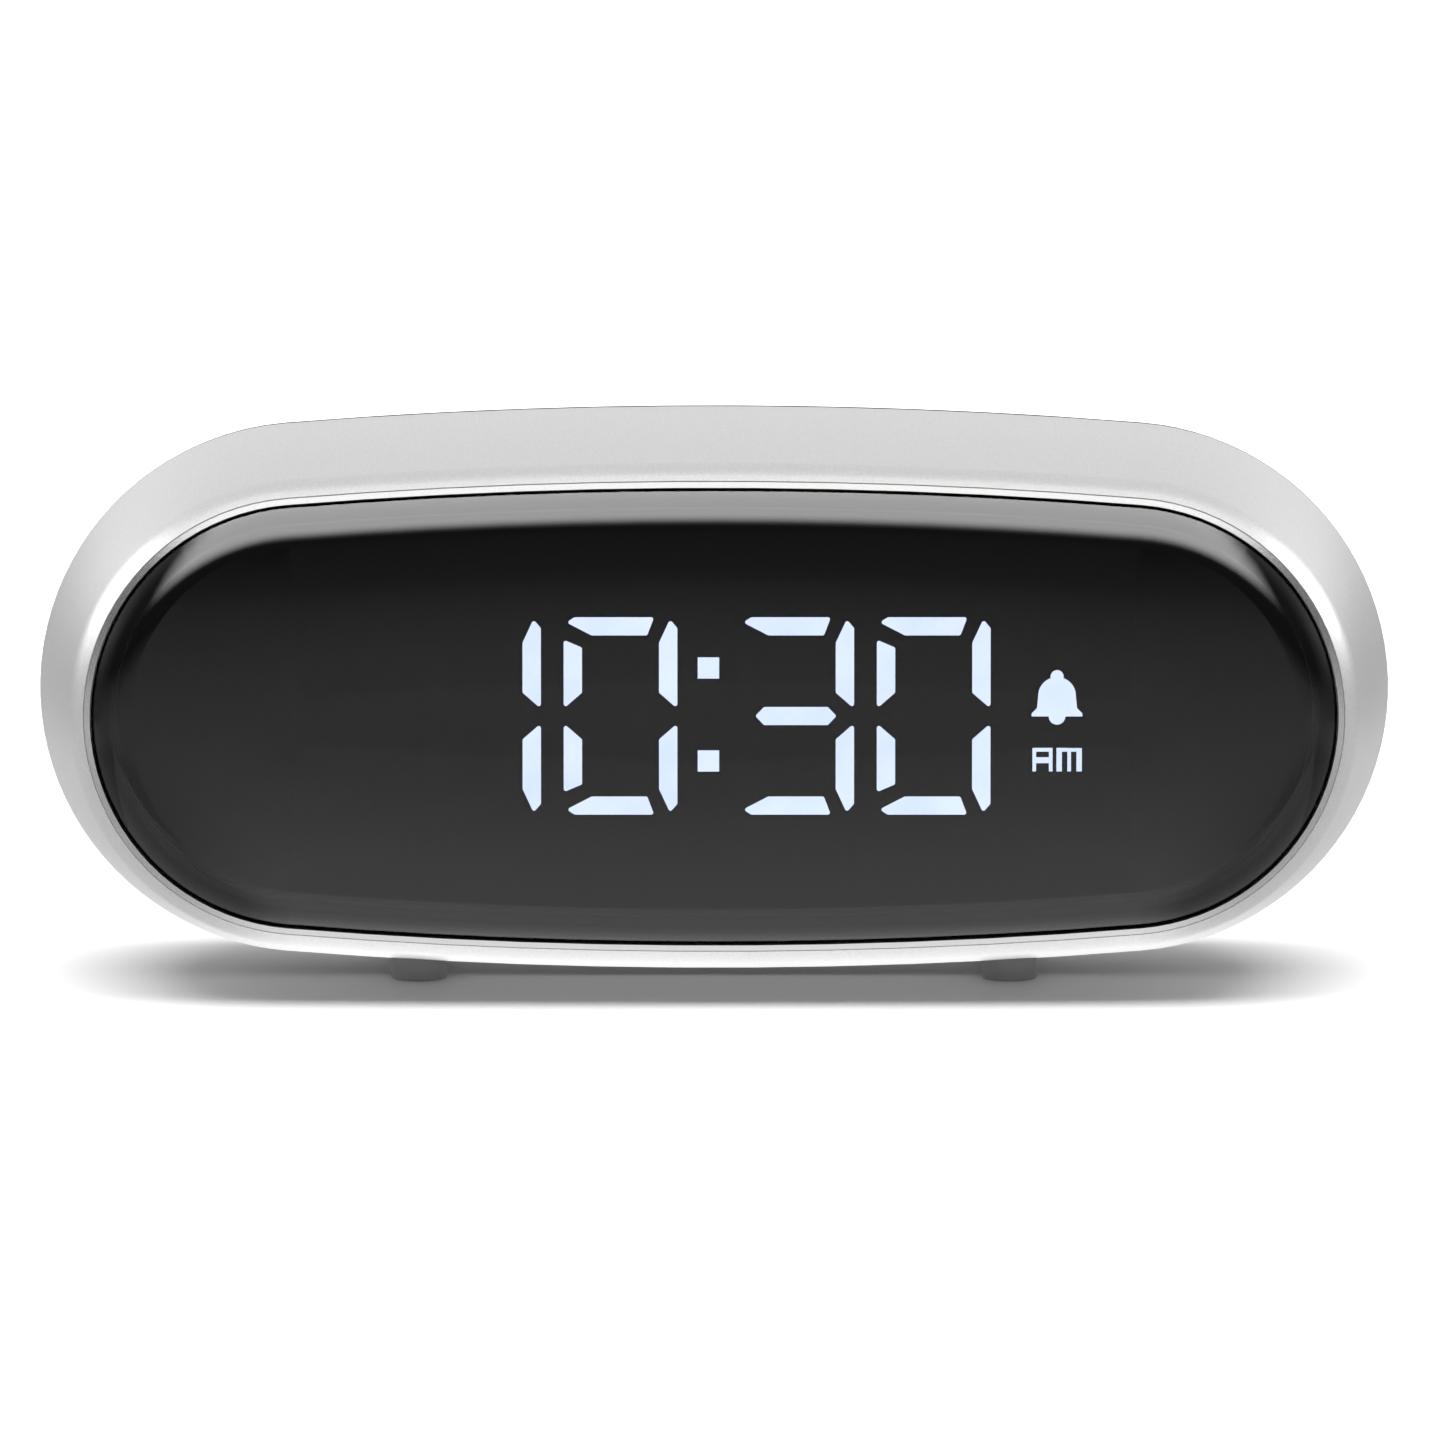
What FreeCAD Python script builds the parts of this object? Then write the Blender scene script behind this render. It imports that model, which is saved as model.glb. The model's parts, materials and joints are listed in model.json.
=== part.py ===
import FreeCAD
import Part
import os
from math import atan2, cos, pi, radians, sin

# Oval bedside alarm clock, millimetres. Built about the centre of the lens: X to the viewer's right,
# Y into the clock from the plane of the rim, Z up. save() moves it to stand on its feet at the origin.

V = FreeCAD.Vector

# ---- driving dimensions: the front outline, an oval of four arcs ----
HALF_W = 71.4            # half width of the lens opening
HALF_H = 26.5            # half height of the lens opening
END_R = 24.6             # radius of the two end arcs
ARCH_R = ((HALF_W - END_R) ** 2 + HALF_H ** 2 - END_R ** 2) / (2 * (HALF_H - END_R))
END_X = HALF_W - END_R   # centre of each end arc

WALL = 2.2               # housing and lens wall
TRAVEL_GAP = 0.3         # round everything that moves

# ---- housing profile: surface angles are from the Y axis, positive where the case still widens ----
LIP = 0.65               # bright lip round the lens
LIP_RISE = 0.17          # the lip's inner edge stands this far forward
CREASE = 0.12            # groove between the lip and the shoulder
CREASE_DEPTH = 0.22
SHOULDER_R = 4.3
SHOULDER_FROM = 55.0
FLANK_R = 200.0
FLANK_FROM = 13.85
FLANK_TO = 8.3
SEAM_GAP = 0.4           # shadow gap between the front and rear housings
REAR_R = 44.2
REAR_FROM = -6.0
REAR_TO = -36.0
BACK_CORNER_R = 9.0
BACK_TO = -84.0
TONGUE = 0.9             # rear housing's tongue inside the front housing
TONGUE_LONG = 2.0

# ---- lens ----
LENS_GAP = 0.15
LENS_EDGE_R = 6.5
LENS_STEEP = 38.0        # surface angle at the lens edge
LENS_GENTLE = 84.0       # and where the edge roll meets the dome
LENS_CORE = 22.0         # how far in from its edge the lens turns flat
FLANGE_Y = 2.6           # back of the lens flange
GASKET = 0.5
LEDGE = 3.0              # ledge the lens sits on: width, and the Y of its back
LEDGE_Y = 4.6
MASK = 1.2               # thickness of the black mask behind the ledge

# ---- display: seven-segment digits 0.9 inch tall ----
DIGIT_H = 22.8
DIGIT_W = 13.0
STROKE = 2.1
SLANT_GAP = 0.85         # gap between neighbouring segments, along the stroke
FACE_Y = 1.2
REFLECTOR_Y = 9.2
REFLECTOR_HALF = (48.0, 17.0)
DIGIT_X = {"hour_tens": -32.8, "hour_units": -17.2, "minute_tens": 3.0, "minute_units": 18.6}
LIT = {"hour_tens": "bc", "hour_units": "abcdef", "minute_tens": "abcdg", "minute_units": "abcdef"}
COLON_X = -0.65
COLON_Z = (5.55, -5.2)
COLON_SIDE = 2.45
ICON_X = 39.2
BELL_Z = 5.3             # top of the bell
LETTERS_Z = -5.05        # middle of the AM letters
LETTERS_DEEP = 0.8
BOARD = 1.6
DISPLAY_BOARD_HALF = (55.0, 23.0)
DISPLAY_BOSS = (50.0, 21.2)
DISPLAY_BOSS_R = 2.4
SEGMENT_ROUND = 0.25     # corner radius of the display segments

# ---- back of the clock, places as (X, Z) ----
HOUSING_SCREW_R = 22.3   # circle of the housing screws, about each end arc's centre
HOUSING_BOSS_R = 3.2
HOUSING_BOSS_END = 24.1
HOUSING_SEAT_Y = 30.0    # where the housing screws' heads sit
REAR_BOSS_R = 3.9
COUNTERBORE_R = 2.8
BOSS_R = 2.6             # posts that carry the main board
KEY_POST_R = 2.0

# ---- screws, each as head radius, head height, shank radius, length ----
HOUSING_SCREW = (2.4, 1.6, 1.2, 16.0)
DISPLAY_SCREW = (1.9, 1.3, 0.9, 4.2)
MAIN_SCREW = (1.9, 1.3, 0.9, 7.5)
KEY_SCREW = (1.6, 1.1, 0.75, 6.0)
SNOOZE_SCREW = (1.6, 1.1, 0.75, 5.5)
PILOT_R = 0.95           # pilot hole of the display and main board screws
SMALL_PILOT_R = 0.8
BOARD_HOLE_R = 1.15
BUTTON_Z = 12.0
BUTTON_R = 3.0
BUTTON_OUT = 0.8
BUTTON_TRAVEL = 0.5
BUTTON_X = {"hour": -34.0, "minute": -20.0, "time_set": -6.0, "alarm_set": 8.0, "dimmer": 22.0}
SWITCH_X = 34.5          # alarm switch knob in its off place
SWITCH_TRAVEL = 3.0
KEY_BOARD_Y = 36.0
KEY_POST_X = (-27.0, 15.0)
MAIN_BOARD_Y = 26.0
MAIN_BOARD_HALF = (53.0, 16.5)
MAIN_POST = (49.0, 12.0)
BUZZER = (-40.0, -4.0)
BUZZER_R = 7.0
JACK = (40.0, -6.0)
JACK_HOLE_R = 4.0
DOOR_HALF = (28.0, 12.0)
DOOR_Z = -4.5
DOOR_THICK = 1.6
BAY_HALF = (25.0, 10.9)
BAY_WALL = 1.2
BAY_FLOOR_Y = 33.6
CELL_R = 5.2
CELL_LONG = 43.0
CELL_Y = 39.4
CELL_PITCH = 10.8

# ---- snooze bar on the rear housing's top slope ----
SNOOZE_ANGLE = -27.0
SNOOZE_HALF = (30.0, 4.5)
SNOOZE_PROUD = 0.7
SNOOZE_TRAVEL = 0.6
SNOOZE_BOARD_LEVEL = -9.5
SNOOZE_POST_X = (-37.0, 37.0)
SNOOZE_STEM_R = 1.7
SNOOZE_STEM_LEVELS = (-7.3, -5.3)

# ---- feet ----
GROUND_Z = -33.6
FOOT_R = 3.2
FOOT_X = 34.0
FOOT_Y = (20.0, 35.0)
FOOT_EDGE = 0.3


def surface_at(centre, radius, angle):
    """Point (offset, y) of a profile arc where its surface leans by angle from the Y axis."""
    a = radians(angle)
    return (centre[0] + radius * cos(a), centre[1] - radius * sin(a))


def arc_centre(start, radius, angle):
    a = radians(angle)
    return (start[0] - radius * cos(a), start[1] + radius * sin(a))


class Bend:
    """One arc of a profile, from one surface angle to another."""

    def __init__(self, start, radius, angle_from, angle_to):
        self.centre = arc_centre(start, radius, angle_from)
        self.radius = radius
        self.angles = (angle_from, angle_to)

    def end(self, depth=0.0):
        return surface_at(self.centre, self.radius - depth, self.angles[1])

    def at(self, angle, depth=0.0):
        return surface_at(self.centre, self.radius - depth, angle)

    def angle_at_y(self, y, depth=0.0):
        s = (self.centre[1] - y) / (self.radius - depth)
        return atan2(s, (1 - s * s) ** 0.5) * 180 / pi

    def points(self, depth=0.0, angles=None, back=False):
        """Start, middle and end of the arc at a depth under the surface."""
        a, b = angles or self.angles
        row = [self.at(v, depth) for v in (a, (a + b) / 2, b)]
        return row[::-1] if back else row


shoulder = Bend((LIP + CREASE, CREASE), SHOULDER_R, SHOULDER_FROM, FLANK_FROM)
flank = Bend(shoulder.end(), FLANK_R, FLANK_FROM, FLANK_TO)
SEAM_O, SEAM_Y = flank.end()
rear = Bend((SEAM_O, SEAM_Y + SEAM_GAP), REAR_R, REAR_FROM, REAR_TO)
corner = Bend(rear.end(), BACK_CORNER_R, REAR_TO, BACK_TO)
BACK_Y = corner.end()[1]
BACK_IN_Y = corner.end(WALL)[1]

lens_edge = Bend((-LENS_GAP, LENS_GAP), LENS_EDGE_R, LENS_STEEP, LENS_GENTLE)
DOME_R = (LENS_CORE + lens_edge.end()[0]) / cos(radians(LENS_GENTLE))
lens_dome = Bend(lens_edge.end(), DOME_R, LENS_GENTLE, 90.0)
FRONT_Y = lens_dome.end()[1]

SNOOZE_OUT = (0.0, -sin(radians(SNOOZE_ANGLE)), cos(radians(SNOOZE_ANGLE)))
SNOOZE_ORIGIN = (0.0, rear.at(SNOOZE_ANGLE)[1], HALF_H + rear.at(SNOOZE_ANGLE)[0])

SHIFT = V(0, -(FRONT_Y + BACK_Y + BUTTON_OUT) / 2, -GROUND_Z)


# ---- shape helpers ----
def box(lo, hi):
    size = [hi[i] - lo[i] for i in range(3)]
    return Part.makeBox(*size, V(*lo))


def rod(radius, start, end):
    a, b = V(*start), V(*end)
    return Part.makeCylinder(radius, (b - a).Length, a, b - a)


def along_y(radius, place, y0, y1):
    """Cylinder along Y at place (x, z)."""
    return rod(radius, (place[0], y0, place[1]), (place[0], y1, place[1]))


def block_y(half, centre, y0, y1):
    """Box of half sizes (x, z) about a centre (x, z), between two Y planes."""
    return box((centre[0] - half[0], y0, centre[1] - half[1]), (centre[0] + half[0], y1, centre[1] + half[1]))


def rounded_block_y(half, centre, y0, y1, radius):
    solid = block_y(half, centre, y0, y1)
    upright = [e for e in solid.Edges if abs(e.tangentAt(e.FirstParameter).y) > 0.99]
    return solid.makeFillet(radius, upright)


def join(parts):
    parts = list(parts)
    return parts[0].multiFuse(parts[1:]).removeSplitter() if len(parts) > 1 else parts[0]


def four(place):
    return [(sx * place[0], sz * place[1]) for sx in (-1, 1) for sz in (-1, 1)]


# ---- the oval ----
def oval_arcs():
    """The four arcs as (centre x, centre z, radius, first angle, sweep) in the XZ plane, in degrees."""
    drop = ARCH_R - HALF_H
    lean = atan2(drop, END_X) * 180 / pi
    arch = 180 - 2 * lean
    return [
        (END_X, 0.0, END_R, -lean, 2 * lean),
        (0.0, -drop, ARCH_R, lean, arch),
        (-END_X, 0.0, END_R, 180 - lean, 2 * lean),
        (0.0, drop, ARCH_R, 180 + lean, arch),
    ]


def oval_wire(offset, y):
    edges = []
    for cx, cz, radius, first, sweep in oval_arcs():
        points = []
        for part in (0, 0.5, 1):
            a = radians(first + part * sweep)
            points.append(V(cx + (radius + offset) * cos(a), y, cz + (radius + offset) * sin(a)))
        edges.append(Part.Arc(*points).toShape())
    return Part.Wire(Part.__sortEdges__(edges))


def oval_prism(offset, y0, y1):
    return Part.Face(oval_wire(offset, y0)).extrude(V(0, y1 - y0, 0))


def profile_face(runs, radius):
    """Closed face in the XY plane. runs holds single points and arcs given as three points."""
    edges = []
    first = last = None
    for run in runs:
        row = run if isinstance(run, list) else [run]
        row = [V(radius + offset, y, 0) for offset, y in row]
        if last and (last - row[0]).Length > 1e-6:
            edges.append(Part.makeLine(last, row[0]))
        if len(row) == 3:
            edges.append(Part.Arc(*row).toShape())
        first = first or row[0]
        last = row[-1]
    if (last - first).Length > 1e-6:
        edges.append(Part.makeLine(last, first))
    return Part.Face(Part.Wire(edges))


def wedge(arc, runs):
    """The profile carried round one of the oval's arcs, whose axis is parallel to Y."""
    cx, cz, radius, first, sweep = arc
    face = profile_face(runs, radius)
    down = V(0, -1, 0)
    face.rotate(V(0, 0, 0), down, first)
    face.translate(V(cx, 0, cz))
    return face.revolve(V(cx, 0, cz), down, sweep)


def carry_round(runs):
    return join(wedge(arc, runs) for arc in oval_arcs())


# ---- housings ----
def front_shell():
    inner_start = flank.angle_at_y(LEDGE_Y, WALL)
    rebate_angle = flank.angle_at_y(SEAM_Y - TONGUE_LONG - 0.2, WALL)
    rebate = flank.at(rebate_angle, WALL)
    seam_depth = WALL - TONGUE - 0.1
    return carry_round([
        (0.0, -LIP_RISE),
        (LIP, 0.0),
        (LIP, CREASE_DEPTH),
        shoulder.points(),
        flank.points(),
        flank.end(seam_depth),
        (flank.end(seam_depth)[0], rebate[1]),
        flank.points(WALL, (inner_start, rebate_angle), back=True),
        (-LEDGE, LEDGE_Y),
        (-LEDGE, FLANGE_Y + GASKET),
        (0.0, FLANGE_Y + GASKET),
    ])


def rear_shell():
    tongue_out = flank.end(WALL - TONGUE)[0] - 0.1
    tongue_in = tongue_out - TONGUE
    ring = carry_round([
        rear.points(),
        corner.points(),
        corner.end(WALL),
        corner.points(WALL, back=True),
        rear.points(WALL, back=True),
        (tongue_in, rear.at(REAR_FROM, WALL)[1]),
        (tongue_in, SEAM_Y - TONGUE_LONG),
        (tongue_out, SEAM_Y - TONGUE_LONG),
        (tongue_out, rear.at(REAR_FROM)[1]),
    ])
    back_offset = corner.end()[0]
    inner_offset = corner.end(WALL)[0]
    back_wall = oval_prism(back_offset, BACK_IN_Y, BACK_Y)
    back_wall = back_wall.common(oval_prism(inner_offset + 0.3, BACK_IN_Y, BACK_Y))
    return join([ring, back_wall])


def envelope():
    """The whole outside of the case as one filled solid."""
    front_runs = [(-END_R + 1, 0.0), (LIP, 0.0), shoulder.points(), flank.points(), (-END_R + 1, SEAM_Y)]
    rear_runs = [(-END_R + 1, SEAM_Y), (SEAM_O, SEAM_Y), rear.points(), corner.points()]
    rear_runs.append((-END_R + 1, BACK_Y))
    return join([carry_round(front_runs), carry_round(rear_runs), oval_prism(-END_R + 1.5, 0.0, BACK_Y)])


def housing_screw_places():
    d = HOUSING_SCREW_R * cos(radians(45))
    return four((END_X + d, d))


def make_front_housing():
    body = front_shell()
    bosses = [along_y(DISPLAY_BOSS_R, p, LEDGE_Y - 0.5, REFLECTOR_Y) for p in four(DISPLAY_BOSS)]
    bosses += [along_y(HOUSING_BOSS_R, p, LEDGE_Y - 0.5, HOUSING_BOSS_END) for p in housing_screw_places()]
    behind_mask = oval_prism(-LEDGE + 0.1, 0.0, LEDGE_Y + MASK + 0.1)
    body = join([body] + [boss.cut(behind_mask) for boss in bosses])
    body = body.cut(oval_prism(0.0, -1.0, FLANGE_Y + GASKET))
    holes = [along_y(PILOT_R, p, LEDGE_Y + MASK + 0.6, REFLECTOR_Y + 1) for p in four(DISPLAY_BOSS)]
    holes += [along_y(HOUSING_SCREW[2] + 0.05, p, 11.0, 26.0) for p in housing_screw_places()]
    return body.cut(Part.makeCompound(holes))


def battery_bay():
    half = (BAY_HALF[0] + BAY_WALL, BAY_HALF[1] + BAY_WALL)
    outside = block_y(half, (0, DOOR_Z), BAY_FLOOR_Y - BAY_WALL, BACK_IN_Y + 0.2)
    return outside.cut(block_y(BAY_HALF, (0, DOOR_Z), BAY_FLOOR_Y, BACK_Y))


def make_rear_housing(outside):
    body = rear_shell()
    grow = [battery_bay()]
    grow += [along_y(REAR_BOSS_R, p, HOUSING_BOSS_END + 0.6, BACK_Y) for p in housing_screw_places()]
    grow += [along_y(BOSS_R, p, MAIN_BOARD_Y + BOARD, BACK_IN_Y + 0.2) for p in four(MAIN_POST)]
    grow += [along_y(KEY_POST_R, (x, BUTTON_Z), KEY_BOARD_Y + BOARD, BACK_IN_Y + 0.2) for x in KEY_POST_X]
    grow.append(along_y(BUZZER_R + 1.3, BUZZER, 40.0, BACK_IN_Y + 0.2))
    grow += snooze_posts()
    body = join([body] + [g.common(outside) for g in grow])
    cuts = [block_y((DOOR_HALF[0], DOOR_HALF[1]), (0, DOOR_Z), BACK_Y - DOOR_THICK, BACK_Y + 1)]
    cuts.append(block_y(BAY_HALF, (0, DOOR_Z), BAY_FLOOR_Y, BACK_Y))
    cuts += [along_y(COUNTERBORE_R, p, HOUSING_SEAT_Y, BACK_Y + 5) for p in housing_screw_places()]
    cuts += [along_y(HOUSING_SCREW[2] + 0.25, p, SEAM_Y, HOUSING_SEAT_Y + 1) for p in housing_screw_places()]
    cuts += [along_y(PILOT_R, p, MAIN_BOARD_Y, 36.0) for p in four(MAIN_POST)]
    cuts += [along_y(SMALL_PILOT_R, (x, BUTTON_Z), KEY_BOARD_Y, 43.0) for x in KEY_POST_X]
    cuts.append(along_y(BUZZER_R + 0.1, BUZZER, 39.0, BACK_IN_Y))
    cuts += [along_y(0.9, p, BACK_IN_Y - 1, BACK_Y + 1) for p in sound_holes()]
    cuts.append(along_y(JACK_HOLE_R, JACK, BACK_IN_Y - 1, BACK_Y + 1))
    hole_r = BUTTON_R + TRAVEL_GAP
    cuts += [along_y(hole_r, (x, BUTTON_Z), BACK_IN_Y - 1, BACK_Y + 1) for x in BUTTON_X.values()]
    slot_x = SWITCH_X + SWITCH_TRAVEL / 2
    slot_half = (1.5 + SWITCH_TRAVEL / 2 + TRAVEL_GAP, 1.0 + TRAVEL_GAP)
    cuts.append(block_y(slot_half, (slot_x, BUTTON_Z), BACK_IN_Y - 1, BACK_Y + 1))
    cuts.append(snooze_pill(TRAVEL_GAP, -6.0, 4.0))
    cuts += [rod(SMALL_PILOT_R, snooze_point(x, SNOOZE_BOARD_LEVEL), snooze_point(x, -4.5)) for x in SNOOZE_POST_X]
    return body.cut(Part.makeCompound(cuts))


def sound_holes():
    ring = [(BUZZER[0] + 3.4 * cos(radians(60 * k)), BUZZER[1] + 3.4 * sin(radians(60 * k))) for k in range(6)]
    return [BUZZER] + ring


# ---- snooze bar, in its own frame: along X, along the slope, and out of the surface ----
def snooze_point(x, level, slope=0.0):
    """Point of the snooze frame; slope runs down the back of the case."""
    out = V(*SNOOZE_OUT)
    down = V(0, out.z, -out.y)
    p = V(*SNOOZE_ORIGIN) + V(x, 0, 0) + out * level + down * slope
    return (p.x, p.y, p.z)


def snooze_pill(grow, level0, level1, half=SNOOZE_HALF):
    """Long round-ended prism along the bar's own normal."""
    r = half[1] + grow
    run = half[0] - half[1]
    ends = [rod(r, snooze_point(x, level0), snooze_point(x, level1)) for x in (-run, run)]
    corners = [snooze_point(sx * run, level0, sy * r) for sx, sy in ((-1, -1), (1, -1), (1, 1), (-1, 1))]
    middle = Part.Face(Part.makePolygon([V(*c) for c in corners + corners[:1]]))
    out = V(*SNOOZE_OUT) * (level1 - level0)
    return join(ends + [middle.extrude(out)])


def snooze_block(half_x, half_slope, level0, level1, x=0.0):
    signs = ((-1, -1), (1, -1), (1, 1), (-1, 1), (-1, -1))
    base = [V(*snooze_point(x + a * half_x, level0, b * half_slope)) for a, b in signs]
    return Part.Face(Part.makePolygon(base)).extrude(V(*SNOOZE_OUT) * (level1 - level0))


def snooze_posts():
    return [rod(2.4, snooze_point(x, SNOOZE_BOARD_LEVEL), snooze_point(x, -1.0)) for x in SNOOZE_POST_X]


def make_snooze_bar():
    """The bar's top follows the case, a little proud; a flange under the wall keeps it in."""
    top_arch = oval_arcs()[1]
    skin = wedge(top_arch, [rear.points(-SNOOZE_PROUD), rear.points(6.0, back=True)])
    bar = skin.common(snooze_pill(0.0, -3.7, 3.0))
    flange = snooze_pill(0.0, -4.7, -3.7, (SNOOZE_HALF[0] + 1.0, SNOOZE_HALF[1] + 1.0))
    plunger = rod(2.0, snooze_point(0, -5.3), snooze_point(0, -4.7))
    return join([bar, flange, plunger])


# ---- lens and its gasket ----
def make_lens():
    ring = carry_round([
        (-LENS_GAP, FLANGE_Y),
        lens_edge.points(),
        lens_dome.points(),
        lens_dome.points(WALL, back=True),
        lens_edge.points(WALL, back=True),
        (lens_edge.at(LENS_STEEP, WALL)[0], FLANGE_Y),
    ])
    core = oval_prism(-LENS_CORE, lens_dome.end()[1], lens_dome.end(WALL)[1])
    return join([ring, core])


def make_lens_gasket():
    outer = oval_prism(-LENS_GAP - 0.15, FLANGE_Y, FLANGE_Y + GASKET)
    return outer.cut(oval_prism(-LEDGE + 0.2, FLANGE_Y - 1, FLANGE_Y + GASKET + 1))


# ---- display ----
def segment_outline(name):
    """Points of one segment in its digit's cell, X from the left edge, Z from the middle."""
    w, h, s, g = DIGIT_W, DIGIT_H / 2, STROKE, SLANT_GAP
    if name in "ad":
        row = [(0.3, h - 0.6), (1.25, h), (w - 2.65, h), (w - 3.45, h - s), (3.2, h - s)]
    elif name == "g":
        row = [(1.7, 0), (2.7, s / 2), (w - 3.0, s / 2), (w - 2.0, 0), (w - 3.0, -s / 2), (2.7, -s / 2)]
    elif name in "bc":
        row = [(w - s, h - 2.95), (w - g, h - 0.25), (w, h - 1.25), (w, g), (w - s, g + 1.85)]
    else:
        row = [(0, h - 2.6), (s, h - 3.5), (s, g + 1.85), (0, g)]
    return [(x, -z) for x, z in row] if name in "dce" else row


def plate_xz(points, y0, y1):
    wire = Part.makePolygon([V(x, y0, z) for x, z in points + points[:1]])
    return Part.Face(wire).extrude(V(0, y1 - y0, 0))


def segment(digit, name, y0, y1):
    left = DIGIT_X[digit]
    plate = plate_xz([(left + x, z) for x, z in segment_outline(name)], y0, y1)
    corners = [e for e in plate.Edges if abs(e.tangentAt(e.FirstParameter).y) > 0.99]
    return plate.makeFillet(SEGMENT_ROUND, corners)


def segment_centre(digit, name):
    row = segment_outline(name)
    x = sum(p[0] for p in row) / len(row)
    z = sum(p[1] for p in row) / len(row)
    return (DIGIT_X[digit] + x, z)


def bell(y0, y1):
    """Bell icon: knob, domed body, flared foot and clapper, as one plate."""
    top = BELL_Z
    shape = [
        along_y(0.75, (ICON_X, top - 0.75), y0, y1),
        along_y(2.15, (ICON_X, top - 2.95), y0, y1),
        plate_xz([(ICON_X - 2.15, top - 2.95), (ICON_X + 2.15, top - 2.95),
                  (ICON_X + 2.3, top - 4.5), (ICON_X - 2.3, top - 4.5)], y0, y1),
        plate_xz([(ICON_X - 2.3, top - 4.4), (ICON_X + 2.3, top - 4.4), (ICON_X + 2.9, top - 5.0),
                  (ICON_X + 2.9, top - 5.35), (ICON_X - 2.9, top - 5.35), (ICON_X - 2.9, top - 5.0)], y0, y1),
        along_y(0.95, (ICON_X, top - 5.35), y0, y1),
    ]
    return join(shape)


def letters_am(y0, y1):
    """The letters A and M in square strokes, as two plates."""
    x0, z0, stroke, high = ICON_X - 2.8, LETTERS_Z, 0.42, 1.35
    letter_a = block_y((1.15, high), (x0 + 1.15, z0), y0, y1)
    letter_a = letter_a.cut(block_y((1.15 - stroke, 0.32), (x0 + 1.15, z0 + high - stroke - 0.32), y0, y1))
    letter_a = letter_a.cut(block_y((1.15 - stroke, 0.6), (x0 + 1.15, z0 - high + 0.35), y0, y1))
    xm = x0 + 4.2
    letter_m = block_y((1.45, high), (xm, z0), y0, y1)
    for side in (-1, 1):
        gap = block_y((0.31, high), (xm + side * 0.52, z0 - stroke), y0, y1)
        letter_m = letter_m.cut(gap)
    return [letter_a, letter_m]


def lit_shapes(y0, y1):
    """Every lit piece of the display, as node name to its list of solids."""
    shapes = {}
    for digit, names in LIT.items():
        shapes[digit + "_segments"] = [segment(digit, n, y0, y1) for n in names]
    half = (COLON_SIDE / 2, COLON_SIDE / 2)
    shapes["colon_dots"] = [block_y(half, (COLON_X, z), y0, y1) for z in COLON_Z]
    shapes["alarm_bell_icon"] = [bell(y0, y1)]
    return shapes


def unlit_shapes(y0, y1):
    rows = [(digit, n) for digit in LIT for n in "abcdefg" if n not in LIT[digit]]
    return [segment(digit, n, y0, y1) for digit, n in rows]


def light_places():
    """Where each light-emitting diode sits, as (x, z, lies along X)."""
    rows = []
    for digit in LIT:
        for name in "abcdefg":
            x, z = segment_centre(digit, name)
            if name in "ad":
                z = (DIGIT_H / 2 - STROKE / 2) * (1 if name == "a" else -1)
            if name in "bcef":
                x = DIGIT_X[digit] + (DIGIT_W - STROKE / 2 if name in "bc" else STROKE / 2)
            rows.append((x, z, name in "adg"))
    rows += [(COLON_X, z, True) for z in COLON_Z]
    rows += [(ICON_X, BELL_Z - 3.0, True), (ICON_X, LETTERS_Z, True)]
    return rows


def make_display():
    nodes = lit_shapes(FACE_Y, REFLECTOR_Y - 1.2)
    nodes["am_icon"] = letters_am(FACE_Y, FACE_Y + LETTERS_DEEP)
    nodes["unlit_segments"] = unlit_shapes(FACE_Y, REFLECTOR_Y - 1.2)
    wells = [s for row in lit_shapes(FACE_Y - 1, REFLECTOR_Y + 1).values() for s in row]
    wells += unlit_shapes(FACE_Y - 1, REFLECTOR_Y + 1)
    wells += letters_am(FACE_Y - 1, FACE_Y + LETTERS_DEEP)
    wells.append(block_y((2.9, 1.4), (ICON_X, LETTERS_Z), FACE_Y + 3.0, REFLECTOR_Y + 1))
    light_x = [ICON_X + dx for dx in (-2.58, -0.72, -0.05, 1.4, 2.64)]
    wells += [along_y(0.2, (x, LETTERS_Z - 0.6), FACE_Y, REFLECTOR_Y) for x in light_x]
    reflector = rounded_block_y(REFLECTOR_HALF, (0, 0), FACE_Y, REFLECTOR_Y, 2.0)
    nodes["display_reflector"] = [reflector.cut(Part.makeCompound(wells))]
    lights = []
    for x, z, flat in light_places():
        half = (0.8, 0.4) if flat else (0.4, 0.8)
        lights.append(block_y(half, (x, z), REFLECTOR_Y - 0.6, REFLECTOR_Y))
    nodes["display_leds"] = lights
    board = rounded_block_y(DISPLAY_BOARD_HALF, (0, 0), REFLECTOR_Y, REFLECTOR_Y + BOARD, 4.0)
    holes = [along_y(BOARD_HOLE_R, p, 0, 20) for p in four(DISPLAY_BOSS)]
    nodes["display_board"] = [board.cut(Part.makeCompound(holes))]
    mask = oval_prism(-0.6, LEDGE_Y, LEDGE_Y + MASK)
    window = (REFLECTOR_HALF[0] + 0.2, REFLECTOR_HALF[1] + 0.2)
    openings = [block_y(window, (0, 0), 0, 20)]
    notches = [along_y(DISPLAY_BOSS_R + 0.2, p, 0, 20) for p in four(DISPLAY_BOSS)]
    notches += [along_y(HOUSING_BOSS_R + 0.2, p, 0, 20) for p in housing_screw_places()]
    seen = oval_prism(-LEDGE - 0.05, -1.0, 21.0)
    openings += [notch.cut(seen) for notch in notches]
    nodes["display_mask"] = [mask.cut(Part.makeCompound(openings))]
    return nodes


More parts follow.
